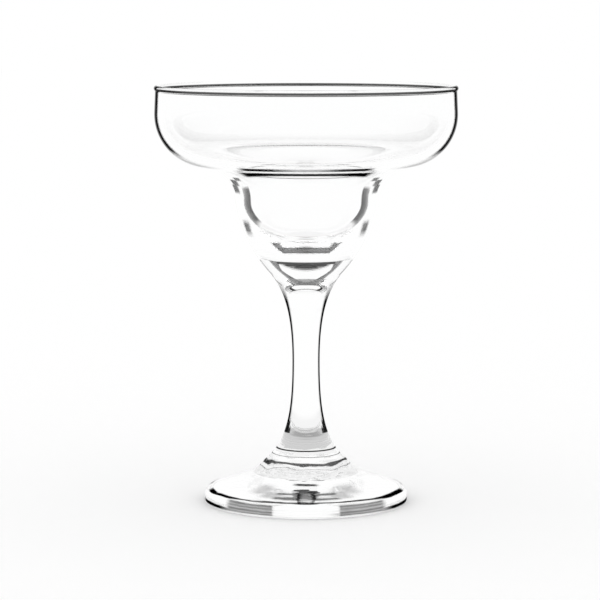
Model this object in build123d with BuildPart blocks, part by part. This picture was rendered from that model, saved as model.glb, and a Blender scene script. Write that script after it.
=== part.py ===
from build123d import *
from math import sqrt
import os

# A stemmed margarita glass: a bowl, a stem and a foot of clear glass, made apart and fused face to face.
# Lengths are millimetres and angles are degrees. Z is the axis of the glass, and Z 0 is what it stands on.

# Foot: a disc with a sloping top, a flat seat for the stem and a shallow hollow below
foot_radius = 40.3
foot_height = 11.65
foot_edge_height = 5.1
foot_edge_round = 3.4
foot_heel_round = 1.0
rest_ring_width = 3.6
foot_hollow_depth = 1.6

# Stem: a solid waisted rod that ends in a straight skirt on the foot
stem_length = 79.35
skirt_radius = 20.95
skirt_height = 7.55
skirt_top_radius = 13.65
waist_radius = 5.4
waist_height = 44.35
stem_top_radius = 14.35
stem_top_lean = 42.35

# How far the stem's curve keeps its direction above the skirt, each side of the waist and below the bowl
skirt_ease = 10.1
waist_ease_below = 15.8
waist_ease_above = 14.6
stem_top_ease = 10.4

# Bowl, outside: a lower cup, a drawn-in neck and a wide saucer
cup_height = 39.4
cup_wall_round = 52.0
neck_radius = 28.5
neck_round = 12.8
saucer_rise = 7.1
saucer_radius = 60.3
saucer_depth = 27.5
saucer_round_share = 0.745
rim_tuck = 1.1

# Bowl, inside: the side wall, which thins towards the rim, the saucer's floor and the lower cup's cavity
wall = 1.5
rim_wall = 1.2
saucer_floor = 1.8
neck_floor = 2.5
cup_wall_thickness = 2.4
cavity_taper = 3.7
cavity_floor_height = 10.0
cavity_floor_dish = 0.5
mouth_round_share = 0.6
floor_round_depth_share = 0.64
floor_round_radius_share = 0.95

# Rim: a fire-rolled bead on the wall's edge, with a hollow round where each side of it meets the wall
rim_bead = 2.2
rim_bead_hollow = 1.0

# Heights of the two seams
stem_base = foot_height
bowl_base = stem_base + stem_length

os.makedirs("parts", exist_ok=True)


def corner(outline, point):
    """The vertex of an outline nearest to a point."""
    return outline.vertices().sort_by_distance(point)[0]


# Foot, turned from its half outline
rest_ring_radius = foot_radius - foot_heel_round - rest_ring_width

with BuildPart() as foot:
    with BuildSketch(Plane.XZ):
        with BuildLine():
            edge = FilletPolyline(
                (skirt_radius, foot_height),
                (foot_radius, foot_edge_height),
                (foot_radius, 0),
                (rest_ring_radius, 0),
                radius=[foot_edge_round, foot_heel_round],
            )
            hollow = TangentArc((0, foot_hollow_depth), edge @ 1, tangent=(1, 0))
            Polyline(hollow @ 0, (0, foot_height), edge @ 0)
        make_face()
    revolve(axis=Axis.Z)
foot.part.label = "foot"
export_step(foot.part, "parts/foot.step")


# Stem, turned from its half outline on the foot's seat
waist = Vector(waist_radius, waist_height)
skirt_top = Vector(skirt_top_radius, skirt_height)
stem_top = Vector(stem_top_radius, stem_length)
skirt_rise = (skirt_top - Vector(skirt_radius, 0)).normalized()
top_fall = Vector(0, -1).rotate(Axis.Z, -stem_top_lean)

with BuildPart() as stem:
    with BuildSketch(Plane.XZ.shift_origin((0, 0, stem_base))):
        with BuildLine():
            skirt = Line((skirt_radius, 0), skirt_top)
            lower = Bezier(
                skirt_top,
                skirt_top + skirt_rise * skirt_ease,
                waist - Vector(0, waist_ease_below),
                waist,
            )
            upper = Bezier(
                waist,
                waist + Vector(0, waist_ease_above),
                stem_top + top_fall * stem_top_ease,
                stem_top,
            )
            Polyline(upper @ 1, (0, stem_length), (0, 0), skirt @ 0)
        make_face()
    revolve(axis=Axis.Z)
stem.part.label = "stem"
export_step(stem.part, "parts/stem.step")


# Bowl, turned from its half section on the stem's top: the outside, less the inside, with its bead
saucer_base = cup_height + saucer_rise
bowl_height = saucer_base + saucer_depth
rim_radius = saucer_radius - rim_tuck
cavity_mouth_radius = neck_radius - cup_wall_thickness
cavity_floor_radius = cavity_mouth_radius - cavity_taper
cavity_depth = cup_height + neck_floor - cavity_floor_height

# Each large round is a share of the shorter side that it joins
saucer_side = min(saucer_radius - neck_radius, saucer_depth)
saucer_round = saucer_side * saucer_round_share
cavity_mouth_round = min(saucer_side, cavity_depth) * mouth_round_share
cavity_floor_round = min(
    cavity_depth * floor_round_depth_share,
    cavity_floor_radius * floor_round_radius_share,
)

# The bead sits on the middle of the wall's edge
bead_radius = rim_bead / 2
rim_side = bowl_height - bead_radius
bead_centre = (rim_radius - rim_wall / 2, rim_side)
bead_foot = rim_side - sqrt(bead_radius**2 - (rim_wall / 2) ** 2)
bead_foot_outside = (rim_radius, bead_foot)
bead_foot_inside = (rim_radius - rim_wall, bead_foot)

neck_corner = (neck_radius, cup_height)
saucer_corner = (saucer_radius, saucer_base)
cavity_floor_corner = (cavity_floor_radius, cavity_floor_height + cavity_floor_dish)
cavity_mouth_corner = (cavity_mouth_radius, cup_height + neck_floor)
saucer_floor_corner = (saucer_radius - wall, saucer_base + saucer_floor)

with BuildSketch() as inside:
    with BuildLine():
        cavity_floor = TangentArc((0, cavity_floor_height), cavity_floor_corner, tangent=(1, 0))
        Polyline(
            cavity_floor @ 1,
            cavity_mouth_corner,
            saucer_floor_corner,
            (rim_radius - rim_wall, rim_side),
            (0, rim_side),
            cavity_floor @ 0,
        )
    make_face()
    fillet(corner(inside, cavity_floor_corner), cavity_floor_round)
    fillet(corner(inside, cavity_mouth_corner), cavity_mouth_round)
    fillet(corner(inside, saucer_floor_corner), saucer_round - wall)

with BuildPart() as bowl:
    with BuildSketch(Plane.XZ.shift_origin((0, 0, bowl_base))) as section:
        with BuildLine():
            cup_wall = RadiusArc(neck_corner, (stem_top_radius, 0), cup_wall_round)
            Polyline(cup_wall @ 1, (0, 0), (0, rim_side), (rim_radius, rim_side), saucer_corner, neck_corner)
        make_face()
        fillet(corner(section, neck_corner), neck_round)
        fillet(corner(section, saucer_corner), saucer_round)
        add(inside.sketch, mode=Mode.SUBTRACT)
        with Locations(bead_centre):
            Circle(bead_radius)
        fillet(corner(section, bead_foot_outside), rim_bead_hollow)
        fillet(corner(section, bead_foot_inside), rim_bead_hollow)
    revolve(axis=Axis.Z)
bowl.part.label = "bowl"
export_step(bowl.part, "parts/bowl.step")
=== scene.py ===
import math

import bmesh
import bpy
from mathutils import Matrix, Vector


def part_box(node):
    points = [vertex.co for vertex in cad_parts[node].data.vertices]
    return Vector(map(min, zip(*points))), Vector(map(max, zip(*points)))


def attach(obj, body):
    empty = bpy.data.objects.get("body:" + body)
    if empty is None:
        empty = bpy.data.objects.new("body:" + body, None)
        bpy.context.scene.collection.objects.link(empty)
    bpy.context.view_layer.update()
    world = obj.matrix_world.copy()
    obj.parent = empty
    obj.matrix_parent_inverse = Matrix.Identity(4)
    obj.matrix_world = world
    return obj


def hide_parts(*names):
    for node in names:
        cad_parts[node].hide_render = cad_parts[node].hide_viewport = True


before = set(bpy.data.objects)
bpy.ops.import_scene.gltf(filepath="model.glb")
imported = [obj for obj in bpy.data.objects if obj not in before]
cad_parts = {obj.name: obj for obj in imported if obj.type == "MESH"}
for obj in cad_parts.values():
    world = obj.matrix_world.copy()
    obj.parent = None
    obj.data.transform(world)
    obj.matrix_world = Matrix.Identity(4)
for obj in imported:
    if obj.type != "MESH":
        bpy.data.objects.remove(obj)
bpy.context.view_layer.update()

# A clear margarita glass in a white studio. Lengths are metres and angles are degrees. Each piece is
# turned about the glass's axis, Z, from an outline of (radius, height) points.

# Foot
foot_edge_height = 0.0051
foot_edge_round = 0.0034
foot_heel_round = 0.001
rest_ring_width = 0.0036
foot_hollow_depth = 0.0016

# Stem
skirt_height = 0.00755
skirt_top_radius = 0.01365
waist_radius = 0.0054
waist_height = 0.04435
stem_top_radius = 0.01435
stem_top_lean = 42.35
skirt_ease = 0.0101
waist_ease_below = 0.0158
waist_ease_above = 0.0146
stem_top_ease = 0.0104

# Bowl, outside
cup_height = 0.0394
cup_wall_round = 0.052
neck_radius = 0.0285
neck_round = 0.0128
saucer_rise = 0.0071
saucer_radius = 0.0603
saucer_round_share = 0.745
rim_tuck = 0.0011

# Bowl, inside
wall = 0.0015
rim_wall = 0.0012
rim_bead = 0.0022
rim_bead_hollow = 0.001
saucer_floor = 0.0018
neck_floor = 0.0025
cup_wall_thickness = 0.0024
cavity_taper = 0.0037
cavity_floor_height = 0.01
cavity_floor_dish = 0.0005
mouth_round_share = 0.6
floor_round_share = 0.911

# Camera: where the photograph was taken from, with a slight turn that puts the glass where it is there
camera_distance = 1.0218
camera_height = 0.1989
camera_pitch = 6.624
camera_yaw = 0.1344
camera_sensor = 36
camera_lens = 155.97

# Glass
glass_ior = 1.52
glass_colour = (0.997, 0.998, 0.998, 1)
# The colour of the painted shade: dark lines painted on the glass where it would bend and reflect its dark
# surroundings
painted_shade_colour = (0.01, 0.01, 0.01, 1)

# Painted shade: dark lines painted on each glass where it would bend and reflect its dark surroundings.
# A line's strength follows how far the surface faces away from the viewer, how far round the glass it is
# turned from the viewer, both from 0 to 1, and its height. Outer lines are painted where light enters the
# glass, and inner lines where it meets the surface from inside the glass.
rim_painted_shade = {
    "height": [(0.1629, 0), (0.1631, 0.9), (0.1639, 0.9), (0.1641, 0)],
}
bowl_outer_painted_shade = {
    "rim": rim_painted_shade,
    "side wall": {
        "facing": [(0.77, 0), (0.82, 1)],
        "height": [(0.1345, 0), (0.1375, 0.15), (0.1405, 1)],
    },
    "underside": {
        "facing": [(0.8, 0), (0.88, 1)],
        "turn": [(0.3, 0), (0.5, 1)],
        "height": [(0.1335, 0), (0.1345, 0.4), (0.14, 0.4), (0.142, 0)],
    },
    "neck, upper": {
        "turn": [(0, 0.4), (0.05, 0.9), (0.15, 1), (0.2, 0)],
        "height": [(0.1336, 0), (0.1339, 1), (0.1348, 1), (0.1351, 0)],
    },
    "neck, lower": {
        "facing": [(0.6, 0), (0.68, 1)],
        "turn": [(0.25, 1), (0.32, 0)],
        "height": [(0.1302, 0), (0.1307, 1), (0.1324, 1), (0.133, 0)],
    },
    "corner, top": {
        "turn": [(0.4, 0), (0.43, 0.7), (0.51, 0.7), (0.55, 0)],
        "height": [(0.1284, 0), (0.1288, 1), (0.1298, 1), (0.1301, 0)],
    },
    "corner, middle": {
        "turn": [(0.49, 0), (0.53, 0.7), (0.66, 0.7), (0.71, 0)],
        "height": [(0.1262, 0), (0.1266, 1), (0.1286, 1), (0.129, 0)],
    },
    "corner, bottom": {
        "turn": [(0.55, 0), (0.59, 0.7), (0.74, 0.7), (0.78, 0)],
        "height": [(0.123, 0), (0.124, 1), (0.1264, 1), (0.1268, 0)],
    },
    "lower cup's side": {
        "turn": [(0.44, 0), (0.5, 0.75), (0.6, 0.75), (0.68, 0)],
        "height": [(0.106, 0), (0.109, 1), (0.1115, 1), (0.1135, 0)],
    },
    "lens, top": {
        "turn": [(0.2, 0.9), (0.27, 0)],
        "height": [(0.096, 0), (0.0962, 1), (0.097, 1), (0.0973, 0)],
    },
    "lens, middle": {
        "turn": [(0.1, 0.9), (0.15, 0)],
        "height": [(0.0952, 0), (0.0954, 1), (0.0962, 1), (0.0964, 0)],
    },
    "lens, bottom": {
        "turn": [(0.03, 0.9), (0.06, 0)],
        "height": [(0.0945, 0), (0.0947, 1), (0.0954, 1), (0.0956, 0)],
    },
}
cavity_outer_painted_shade = {
    "rim": rim_painted_shade,
    "cavity's side": {
        "facing": [(0.53, 0), (0.56, 0.85)],
        "height": [(0.1075, 0), (0.11, 1), (0.1235, 1), (0.125, 0)],
    },
}
cavity_inner_painted_shade = {
    "band": {
        "turn": [(0.15, 0.85), (0.17, 0)],
        "height": [(0.1021, 0), (0.1024, 1), (0.104, 1), (0.1043, 0)],
    },
    "band's ends": {
        "turn": [(0.08, 0), (0.1, 0.85), (0.15, 0.85), (0.17, 0)],
        "height": [(0.1034, 0), (0.1037, 1), (0.1055, 1), (0.106, 0)],
    },
    "band over the stem": {
        "facing": [(0.25, 0.8), (0.3, 0)],
        "height": [(0.1036, 0), (0.104, 1), (0.106, 0.8), (0.1063, 0)],
    },
}
ring_ends = [(0.9, 1), (1, 0)]
stem_outer_painted_shade = {
    "side": {
        "facing": [(0.46, 0), (0.6, 1)],
        "height": [(0.028, 0), (0.032, 1), (0.08, 1), (0.089, 0)],
    },
    "side's foot, outer": {
        "facing": [(0.4, 0), (0.46, 0.96)],
        "height": [(0.0275, 0), (0.0279, 1), (0.032, 1), (0.0345, 0)],
    },
    "side's foot, inner": {
        "facing": [(0.3, 0), (0.36, 0.96)],
        "height": [(0.0275, 0), (0.0279, 1), (0.0295, 1), (0.0315, 0)],
    },
    "first ring": {
        "facing": ring_ends,
        "height": [(0.0212, 0), (0.0214, 1), (0.0217, 1), (0.0219, 0)],
    },
    "second ring": {
        "facing": ring_ends,
        "height": [(0.0192, 0), (0.0194, 0.9), (0.0196, 0)],
    },
    "third ring": {
        "facing": ring_ends,
        "height": [(0.0163, 0), (0.0166, 0.9), (0.0172, 0.9), (0.0175, 0)],
    },
    "fourth ring": {
        "facing": ring_ends,
        "height": [(0.0149, 0), (0.0151, 0.8), (0.0153, 0)],
    },
}
foot_outer_painted_shade = {
    "stroke by the stem": {
        "turn": [(0.025, 0.85), (0.045, 0)],
        "height": [(0.0101, 0), (0.0103, 1), (0.0107, 1), (0.0109, 0)],
    },
    "far crescent": {
        "turn": [(0.1, 0), (0.16, 0.4), (0.22, 0.4), (0.32, 0)],
        "height": [(0.0072, 0), (0.008, 1), (0.0094, 1), (0.0106, 0)],
    },
    "near crescent": {
        "turn": [(0.03, 0), (0.07, 0.45), (0.14, 0.45), (0.2, 0)],
        "height": [(0.0064, 0), (0.007, 1), (0.0082, 1), (0.009, 0)],
    },
    "front crescent": {
        "turn": [(0.05, 0.45), (0.1, 0)],
        "height": [(0.0062, 0), (0.0066, 1), (0.0072, 1), (0.0078, 0)],
    },
    "streaks": {
        "turn": [(0.01, 0), (0.025, 0.8), (0.08, 0.8), (0.12, 0)],
        "height": [
            (0.0064, 0), (0.0067, 1), (0.0071, 1), (0.0073, 0.2),
            (0.0076, 0.2), (0.0078, 1), (0.0082, 1), (0.0085, 0),
        ],
    },
    "edge, upper": {
        "facing": [(0.4, 0), (0.5, 1)],
        "turn": [(0.8, 1), (0.9, 0)],
        "height": [(0.005, 0), (0.0052, 1), (0.0059, 1), (0.0061, 0)],
    },
    "edge, thin": {
        "turn": [(0.8, 0.9), (0.9, 0)],
        "height": [(0.0055, 0), (0.0057, 1), (0.0059, 1), (0.0061, 0)],
    },
    "edge, lower": {
        "turn": [(0.1, 0), (0.5, 1)],
        "height": [(0.0005, 0), (0.0009, 1), (0.0018, 1), (0.0023, 0)],
    },
    "front blocks": {
        "turn": [(0.07, 0), (0.08, 0.85), (0.36, 0.85), (0.42, 0)],
        "height": [
            (0.0008, 0), (0.0012, 1), (0.0017, 0.7), (0.0023, 1), (0.0029, 0.65),
            (0.0036, 0.95), (0.0041, 0.75), (0.0047, 1), (0.0052, 0),
        ],
    },
}

# Ripples from the making: the detail and the middle value of the noise that they come from, and for each
# glass its waves per metre round and up, their depth, and at each height their strength and how far they
# bend the painted dark lines
ripple_detail = 2
ripple_middle = 0.5
bowl_ripple = {
    "round": 40,
    "up": 60,
    "depth": 0.00002,
    "strengths": [(0.09, 1), (0.16, 0.3)],
    "bends": [(0.09, 0), (0.16, 0)],
}
stem_ripple = {
    "round": 90,
    "up": 260,
    "depth": 0.0012,
    "strengths": [(0.0116, 1), (0.019, 0.8), (0.026, 0.05), (0.06, 0.02)],
    "bends": [(0.0165, 0.004), (0.018, 0.0005), (0.02, 0)],
}
foot_ripple = {
    "round": 70,
    "up": 900,
    "depth": 0.0004,
    "strengths": [(0.001, 0.1), (0.0055, 0.3), (0.0115, 1)],
    "bends": [(0, 0.0005), (0.006, 0.001), (0.01, 0.001)],
}

# Roughness of the foot, which is worn where it rests, at each height
rest_wear = [(0.00003, 0.3), (0.0001, 0)]

# Light that has been reflected or bent this many times inside the glass leaves it
most_reflections = 4
most_bounces = 11

# Meshes: how many sides a turned piece has, the longest step of its outline, how near two points count as
# one, and the angle of a sharp edge
lathe_sides = 192
longest_step = 0.0015
merge_distance = 1e-6
sharp_angle = 40

# Studio: a white room with two dark screens round the glass, a hood above it and a ring level with the
# bowl, which only light from inside the glass meets. Each has its lower and upper edge as (reach, height),
# and its shade.
room_white = 1.0
screens = {
    "card_hood": [(2.1, 2.5), (1.5, 2.6), 0.1],
    "card_ring": [(0.11, 0.172), (0.11, 0.26), 0.03],
}
screen_sides = 48

# The floor, and the shadow painted on it by distance from the axis, which shows only where it is seen
# through the glass
floor_reach = 6.0
floor_corners = [(-1, -1, 0), (1, -1, 0), (1, 1, 0), (-1, 1, 0)]
floor_painted_shadow = [(0, 0.35), (0.008, 0.4), (0.012, 0.6), (0.026, 0.64), (0.034, 0.9), (0.07, 0.92), (0.09, 1)]


def arc(centre, start, end, steps=32):
    """Points on the shorter arc about a centre, from start to end."""
    centre, start, end = Vector(centre), Vector(start), Vector(end)
    first = start - centre
    last = end - centre
    turn = math.atan2(first.x * last.y - first.y * last.x, first.dot(last))
    across = Vector((-first.y, first.x))
    angles = [turn * step / steps for step in range(steps + 1)]
    return [centre + first * math.cos(angle) + across * math.sin(angle) for angle in angles]


def rounded(before, at, after, radius):
    """The round at a corner between two straight lines."""
    at = Vector(at)
    back = (Vector(before) - at).normalized()
    on = (Vector(after) - at).normalized()
    half = back.angle(on) / 2
    reach = radius / math.tan(half)
    centre = at + (back + on).normalized() * radius / math.sin(half)
    return arc(centre, at + back * reach, at + on * reach)


def rounded_to_circle(start, end, side, radius, centre, circle_radius, reach):
    """The round from a line, on its given side, to a circle whose centre is that reach from its own."""
    start, centre = Vector(start), Vector(centre)
    along = (Vector(end) - start).normalized()
    out = Vector((-along.y, along.x)) * side
    offset = start + out * radius - centre
    back = offset.dot(along)
    on = math.sqrt(back ** 2 - offset.length_squared + reach ** 2) - back
    middle = start + out * radius + along * on
    return arc(middle, middle - out * radius, centre + (middle - centre).normalized() * circle_radius)


def bezier(start, start_pull, end_pull, end, steps=64):
    """Points on a cubic curve between two points, with its two pulls."""
    points = []
    for step in range(steps + 1):
        t = step / steps
        near = Vector(start) * (1 - t) ** 3 + Vector(start_pull) * 3 * t * (1 - t) ** 2
        far = Vector(end_pull) * 3 * t ** 2 * (1 - t) + Vector(end) * t ** 3
        points.append(near + far)
    return points


def level_circle(height, end):
    """The centre and radius of the circle through a point that crosses the axis level at a height."""
    rise = end[1] - height
    radius = (end[0] ** 2 + rise ** 2) / (2 * abs(rise))
    return Vector((0, height + math.copysign(radius, rise))), radius


def spread(outline):
    """An outline with no point twice, and with points added where two are over the longest step apart."""
    points = [Vector(outline[0])]
    for point in map(Vector, outline[1:]):
        gap = point - points[-1]
        if gap.length < merge_distance:
            continue
        start = points[-1]
        steps = math.ceil(gap.length / longest_step)
        points += [start + gap * step / steps for step in range(1, steps + 1)]
    return points


def placed(name, data):
    """A new object in the scene."""
    item = bpy.data.objects.new(name, data)
    bpy.context.collection.objects.link(item)
    return item


def lathe(name, sections):
    """A closed piece turned from the sections of its outline, each a list of points with its material."""
    mesh = bpy.data.meshes.new(name)
    work = bmesh.new()
    turns = [2 * math.pi * side / lathe_sides for side in range(lathe_sides)]
    last_point = None
    last_ring = None
    for slot, (outline, material) in enumerate(sections):
        mesh.materials.append(material)
        for point in spread(outline):
            if last_point is not None and (point - last_point).length < merge_distance:
                continue
            if point.x < merge_distance:
                ring = [work.verts.new((0, 0, point.y))]
            else:
                spots = [(point.x * math.cos(turn), point.x * math.sin(turn), point.y) for turn in turns]
                ring = [work.verts.new(spot) for spot in spots]
            if last_ring:
                join_rings(work, last_ring, ring, slot)
            last_point = point
            last_ring = ring
    bmesh.ops.recalc_face_normals(work, faces=work.faces)
    work.to_mesh(mesh)
    work.free()
    mesh.set_sharp_from_angle(angle=math.radians(sharp_angle))
    return placed(name, mesh)


def join_rings(work, first, second, slot):
    """The faces between two rings of a turned piece, either of which may be one point on the axis."""
    for side in range(lathe_sides):
        following = (side + 1) % lathe_sides
        corners = [first[side % len(first)], second[side % len(second)]]
        if len(second) > 1:
            corners.append(second[following])
        if len(first) > 1:
            corners.append(first[following])
        face = work.faces.new(corners)
        face.smooth = True
        face.material_index = slot


def foot_outline():
    """From the seat's edge over the foot's top, round its edge, and back under it to the axis."""
    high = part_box("foot")[1]
    seat = (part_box("stem")[1].x, high.z)
    edge = (high.x, foot_edge_height)
    heel = (high.x, 0)
    ring = (high.x - foot_heel_round - rest_ring_width, 0)
    hollow_centre, _ = level_circle(foot_hollow_depth, ring)
    return [
        seat,
        *rounded(seat, edge, heel, foot_edge_round),
        *rounded(edge, heel, ring, foot_heel_round),
        *arc(hollow_centre, ring, (0, foot_hollow_depth)),
    ]


def stem_outline():
    """Down the stem's waisted side and its skirt."""
    low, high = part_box("stem")
    skirt_edge = Vector((high.x, low.z))
    skirt_top = Vector((skirt_top_radius, low.z + skirt_height))
    waist = Vector((waist_radius, low.z + waist_height))
    top = Vector((stem_top_radius, high.z))
    lean = math.radians(stem_top_lean)
    top_pull = top - Vector((math.sin(lean), math.cos(lean))) * stem_top_ease
    skirt_pull = skirt_top + (skirt_top - skirt_edge).normalized() * skirt_ease
    return [
        *bezier(top, top_pull, waist + Vector((0, waist_ease_above)), waist),
        *bezier(waist, waist - Vector((0, waist_ease_below)), skirt_pull, skirt_top),
        skirt_edge,
    ]


def bead_half(top, side):
    """The rim's bead from its top down one side to the wall, and the point on the wall where it ends."""
    bead_round = rim_bead / 2
    centre = Vector((saucer_radius - rim_tuck - rim_wall / 2, top - bead_round))
    half = rim_wall / 2
    drop = math.sqrt((bead_round + rim_bead_hollow) ** 2 - (half + rim_bead_hollow) ** 2)
    tuck = centre + Vector((side * (half + rim_bead_hollow), -drop))
    touch = centre + (tuck - centre).normalized() * bead_round
    wall_top = Vector((centre.x + side * half, tuck.y))
    beside = centre + Vector((side * bead_round, 0))
    return [
        *arc(centre, centre + Vector((0, bead_round)), beside),
        *arc(centre, beside, touch),
        *arc(tuck, touch, wall_top),
    ], wall_top


def bowl_outside(base, top):
    """From the top of the rim, down the outside of the bowl, to the seam."""
    neck = Vector((neck_radius, base + cup_height))
    saucer = Vector((saucer_radius, neck.y + saucer_rise))
    saucer_round = min(saucer_radius - neck_radius, top - saucer.y) * saucer_round_share
    seam = Vector((stem_top_radius, base))
    chord = seam - neck
    bulge = math.sqrt(cup_wall_round ** 2 - chord.length_squared / 4)
    cup_centre = (seam + neck) / 2 + Vector((chord.y, -chord.x)).normalized() * bulge
    neck_reach = cup_wall_round + neck_round
    neck_arc = rounded_to_circle(neck, saucer, -1, neck_round, cup_centre, cup_wall_round, neck_reach)
    bead, wall_top = bead_half(top, 1)
    return [
        *bead,
        *rounded(wall_top, saucer, neck, saucer_round),
        *neck_arc,
        *arc(cup_centre, neck_arc[-1], seam),
    ]


def bowl_inside(base, top):
    """From the axis at the cavity's floor, up the inside of the bowl, to the top of the rim."""
    neck_height = base + cup_height
    mouth = Vector((neck_radius - cup_wall_thickness, neck_height + neck_floor))
    corner = Vector((mouth.x - cavity_taper, base + cavity_floor_height + cavity_floor_dish))
    saucer = Vector((saucer_radius - wall, neck_height + saucer_rise + saucer_floor))
    bead, wall_top = bead_half(top, -1)
    saucer_side = min(saucer_radius - neck_radius, top - neck_height - saucer_rise)
    floor_centre, floor_radius = level_circle(base + cavity_floor_height, corner)
    floor_round = corner.x * floor_round_share
    round_reach = floor_radius - floor_round
    floor_arc = rounded_to_circle(mouth, corner, -1, floor_round, floor_centre, floor_radius, round_reach)
    return [
        *arc(floor_centre, (0, base + cavity_floor_height), floor_arc[-1]),
        *reversed(floor_arc),
        *rounded(corner, mouth, saucer, saucer_side * mouth_round_share),
        *rounded(mouth, saucer, wall_top, saucer_side * saucer_round_share - wall),
        *reversed(bead),
    ]


def node_tree(owner):
    """The emptied node tree of a material or world, and short ways to add a node and a link."""
    owner.use_nodes = True
    tree = owner.node_tree
    tree.nodes.clear()
    return tree.nodes.new, tree.links.new


def seam_material():
    """The inner faces where two pieces are fused: light passes them as if they weren't there."""
    material = bpy.data.materials.new("fused_seam")
    add, link = node_tree(material)
    clear = add("ShaderNodeBsdfTransparent")
    link(clear.outputs["BSDF"], add("ShaderNodeOutputMaterial").inputs["Surface"])
    return material


def graded(add, link, measure, stops):
    """A value that follows stops of (measure, value), and stays at the first and the last beyond them."""
    span = add("ShaderNodeMapRange")
    span.inputs["From Min"].default_value = stops[0][0]
    span.inputs["From Max"].default_value = stops[-1][0]
    link(measure, span.inputs["Value"])
    node = add("ShaderNodeValToRGB")
    ramp = node.color_ramp.elements
    ramp.remove(ramp[1])
    for index, (place, value) in enumerate(stops):
        share = (place - stops[0][0]) / (stops[-1][0] - stops[0][0])
        stop = ramp[0] if index == 0 else ramp.new(share)
        stop.position = share
        stop.color = (value, value, value, 1)
    link(span.outputs["Result"], node.inputs["Fac"])
    return node.outputs["Color"]


def maths(add, link, operation, *values):
    """The result of a sum on values, each a number or a socket."""
    node = add("ShaderNodeMath")
    node.operation = operation
    for socket, value in zip(node.inputs, values):
        if isinstance(value, bpy.types.NodeSocket):
            link(value, socket)
        else:
            socket.default_value = value
    return node.outputs["Value"]


def scaled(add, link, vector, scale):
    """A vector with each axis scaled."""
    node = add("ShaderNodeVectorMath")
    node.operation = "MULTIPLY"
    link(vector, node.inputs[0])
    node.inputs[1].default_value = scale
    return node.outputs["Vector"]


def painted_shade_strength(add, link, measures, outer_painted_shade, inner_painted_shade):
    """How strongly the painted shade, dark lines painted on the glass, covers the surface, from its
    measures.
    """
    inside = add("ShaderNodeNewGeometry").outputs["Backfacing"]
    outside = maths(add, link, "SUBTRACT", 1, inside)
    dark = 0
    for side, lines in ((outside, outer_painted_shade), (inside, inner_painted_shade)):
        for line in lines.values():
            strength = side
            for measure, stops in line.items():
                share = graded(add, link, measures[measure], stops)
                strength = maths(add, link, "MULTIPLY", strength, share)
            dark = maths(add, link, "MAXIMUM", dark, strength)
    return dark


def glass_colour_with_painted_shade(add, link, dark):
    """The glass's colour, with the painted shade's dark lines over it to this share."""
    mix = add("ShaderNodeMix")
    mix.data_type = "RGBA"
    link(dark, mix.inputs["Factor"])
    # The node has its sockets once for each type of data
    clear, covered, mixed = (socket for socket in (*mix.inputs, *mix.outputs) if socket.type == "RGBA")
    clear.default_value = glass_colour
    covered.default_value = painted_shade_colour
    return mixed


def rippled(add, link, spot, height, ripple):
    """The surface's direction with the ripples on it, and how far they bend the painted dark lines."""
    noise = add("ShaderNodeTexNoise")
    noise.inputs["Scale"].default_value = 1
    noise.inputs["Detail"].default_value = ripple_detail
    waves = (ripple["round"], ripple["round"], ripple["up"])
    link(scaled(add, link, spot, waves), noise.inputs["Vector"])
    bump = add("ShaderNodeBump")
    bump.inputs["Distance"].default_value = ripple["depth"]
    link(noise.outputs["Fac"], bump.inputs["Height"])
    link(graded(add, link, height, ripple["strengths"]), bump.inputs["Strength"])
    wave = maths(add, link, "SUBTRACT", noise.outputs["Fac"], ripple_middle)
    bend = maths(add, link, "MULTIPLY", wave, graded(add, link, height, ripple["bends"]))
    return bump.outputs["Normal"], bend


def turned_away(add, link, spot):
    """How far round the glass a spot is turned from the viewer, by its direction from the axis."""
    outward = add("ShaderNodeVectorMath")
    outward.operation = "NORMALIZE"
    link(scaled(add, link, spot, (1, 1, 0)), outward.inputs[0])
    weight = add("ShaderNodeLayerWeight")
    link(outward.outputs["Vector"], weight.inputs["Normal"])
    return weight.outputs["Facing"]


def glass_material(name, ripple, outer_painted_shade, inner_painted_shade, wear=()):
    """Clear, fire-polished glass, rippled, with painted shade: dark lines painted on it."""
    material = bpy.data.materials.new(name)
    add, link = node_tree(material)
    glass = add("ShaderNodeBsdfPrincipled")
    glass.inputs["Transmission Weight"].default_value = 1
    glass.inputs["IOR"].default_value = glass_ior
    glass.inputs["Roughness"].default_value = 0
    # Painted shade: the tint keeps the painted dark lines dark where the surface turns away from the viewer
    glass.inputs["Specular Tint"].default_value = painted_shade_colour
    link(glass.outputs["BSDF"], add("ShaderNodeOutputMaterial").inputs["Surface"])

    path = add("ShaderNodeLightPath").outputs
    few_reflections = maths(add, link, "LESS_THAN", path["Glossy Depth"], most_reflections)
    few_bounces = maths(add, link, "LESS_THAN", path["Ray Depth"], most_bounces)
    link(maths(add, link, "MULTIPLY", few_reflections, few_bounces), glass.inputs["Alpha"])

    spot = add("ShaderNodeTexCoord").outputs["Object"]
    place = add("ShaderNodeSeparateXYZ")
    link(spot, place.inputs["Vector"])
    height = place.outputs["Z"]
    direction, bend = rippled(add, link, spot, height, ripple)
    link(direction, glass.inputs["Normal"])
    if wear:
        link(graded(add, link, height, wear), glass.inputs["Roughness"])

    measures = {
        "facing": add("ShaderNodeLayerWeight").outputs["Facing"],
        "turn": turned_away(add, link, spot),
        "height": maths(add, link, "ADD", height, bend),
    }
    # Painted shade: where the dark lines are painted, the glass turns towards near-black metal
    dark = painted_shade_strength(add, link, measures, outer_painted_shade, inner_painted_shade)
    link(dark, glass.inputs["Metallic"])
    link(glass_colour_with_painted_shade(add, link, dark), glass.inputs["Base Color"])
    return material


def screen_material(name, shade):
    """A screen's shade, which doesn't darken the light that reaches the floor through the glass."""
    material = bpy.data.materials.new(name)
    add, link = node_tree(material)
    glow = add("ShaderNodeEmission")
    for_floor = maths(add, link, "MAXIMUM", add("ShaderNodeLightPath").outputs["Diffuse Depth"], shade)
    link(maths(add, link, "MINIMUM", for_floor, room_white), glow.inputs["Strength"])
    link(glow.outputs["Emission"], add("ShaderNodeOutputMaterial").inputs["Surface"])
    return material


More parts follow.
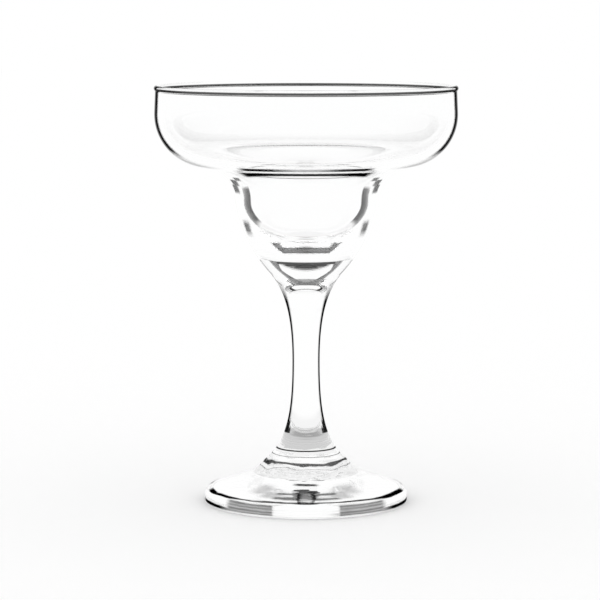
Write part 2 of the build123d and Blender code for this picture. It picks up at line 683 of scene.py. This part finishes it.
def floor_material():
    """White paper, with a shadow painted on it as a glow by distance from the axis, where it is seen
    through the glass.
    """
    material = bpy.data.materials.new("floor_white")
    add, link = node_tree(material)
    paper = add("ShaderNodeBsdfDiffuse")
    paper.inputs["Color"].default_value = (room_white, room_white, room_white, 1)
    distance = add("ShaderNodeVectorMath")
    distance.operation = "LENGTH"
    link(add("ShaderNodeTexCoord").outputs["Object"], distance.inputs[0])
    painted_shadow_glow = add("ShaderNodeEmission")
    link(graded(add, link, distance.outputs["Value"], floor_painted_shadow), painted_shadow_glow.inputs["Color"])
    path = add("ShaderNodeLightPath").outputs
    seen = add("ShaderNodeMixShader")
    through_glass = maths(add, link, "GREATER_THAN", path["Is Transmission Ray"], path["Diffuse Depth"])
    link(through_glass, seen.inputs["Fac"])
    link(paper.outputs["BSDF"], seen.inputs[1])
    link(painted_shadow_glow.outputs["Emission"], seen.inputs[2])
    link(seen.outputs["Shader"], add("ShaderNodeOutputMaterial").inputs["Surface"])
    return material


def screen(name, low, high, shade):
    """A screen round Z between two (reach, height) edges, which only light from inside the glass meets."""
    mesh = bpy.data.meshes.new(name)
    points = []
    for side in range(screen_sides):
        turn = 2 * math.pi * side / screen_sides
        for reach, height in (low, high):
            points.append((reach * math.sin(turn), reach * math.cos(turn), height))
    corners = range(0, len(points), 2)
    faces = [(first, first + 1, (first + 3) % len(points), (first + 2) % len(points)) for first in corners]
    mesh.from_pydata(points, [], faces)
    mesh.materials.append(screen_material(name, shade))
    item = placed(name, mesh)
    item.visible_camera = False
    item.visible_diffuse = False
    item.visible_glossy = False
    item.visible_shadow = False


# The glass
fused_seam = seam_material()
foot_glass = glass_material("clear_foot", foot_ripple, foot_outer_painted_shade, {}, rest_wear)
stem_glass = glass_material("clear_stem", stem_ripple, stem_outer_painted_shade, {})
inside_glass = glass_material("clear_inside", bowl_ripple, cavity_outer_painted_shade, cavity_inner_painted_shade)
outside_glass = glass_material("clear_outside", bowl_ripple, bowl_outer_painted_shade, {})
foot_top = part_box("foot")[1].z
bowl_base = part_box("bowl")[0].z
bowl_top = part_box("bowl")[1].z
foot_side = foot_outline()
stem_side = stem_outline()
pieces = {
    "foot": [
        ([(0, foot_top), foot_side[0]], fused_seam),
        (foot_side, foot_glass),
    ],
    "stem": [
        ([(0, bowl_base), stem_side[0]], fused_seam),
        (stem_side, stem_glass),
        ([stem_side[-1], (0, foot_top)], fused_seam),
    ],
    "bowl": [
        (bowl_inside(bowl_base, bowl_top), inside_glass),
        (bowl_outside(bowl_base, bowl_top), outside_glass),
        ([(stem_top_radius, bowl_base), (0, bowl_base)], fused_seam),
    ],
}
for node, sections in pieces.items():
    piece = lathe(f"{node}_glass", sections)
    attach(piece, "root")
    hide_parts(node)

# The floor
floor_mesh = bpy.data.meshes.new("floor")
corners = [Vector(corner) * floor_reach for corner in floor_corners]
floor_mesh.from_pydata(corners, [], [range(len(corners))])
floor_mesh.materials.append(floor_material())
placed("floor", floor_mesh)

# The studio
world = bpy.data.worlds.new("white_room")
bpy.context.scene.world = world
add, link = node_tree(world)
room = add("ShaderNodeBackground")
room.inputs["Color"].default_value = (room_white, room_white, room_white, 1)
link(room.outputs["Background"], add("ShaderNodeOutputWorld").inputs["Surface"])
for name, (low, high, shade) in screens.items():
    screen(name, low, high, shade)

# The camera
camera = placed("camera", bpy.data.cameras.new("camera"))
camera.data.sensor_width = camera_sensor
camera.data.lens = camera_lens
camera.location = (0, -camera_distance, camera_height)
camera.rotation_euler = (math.pi / 2 - math.radians(camera_pitch), 0, math.radians(camera_yaw))
bpy.context.scene.camera = camera
bpy.context.scene.view_settings.view_transform = "Standard"
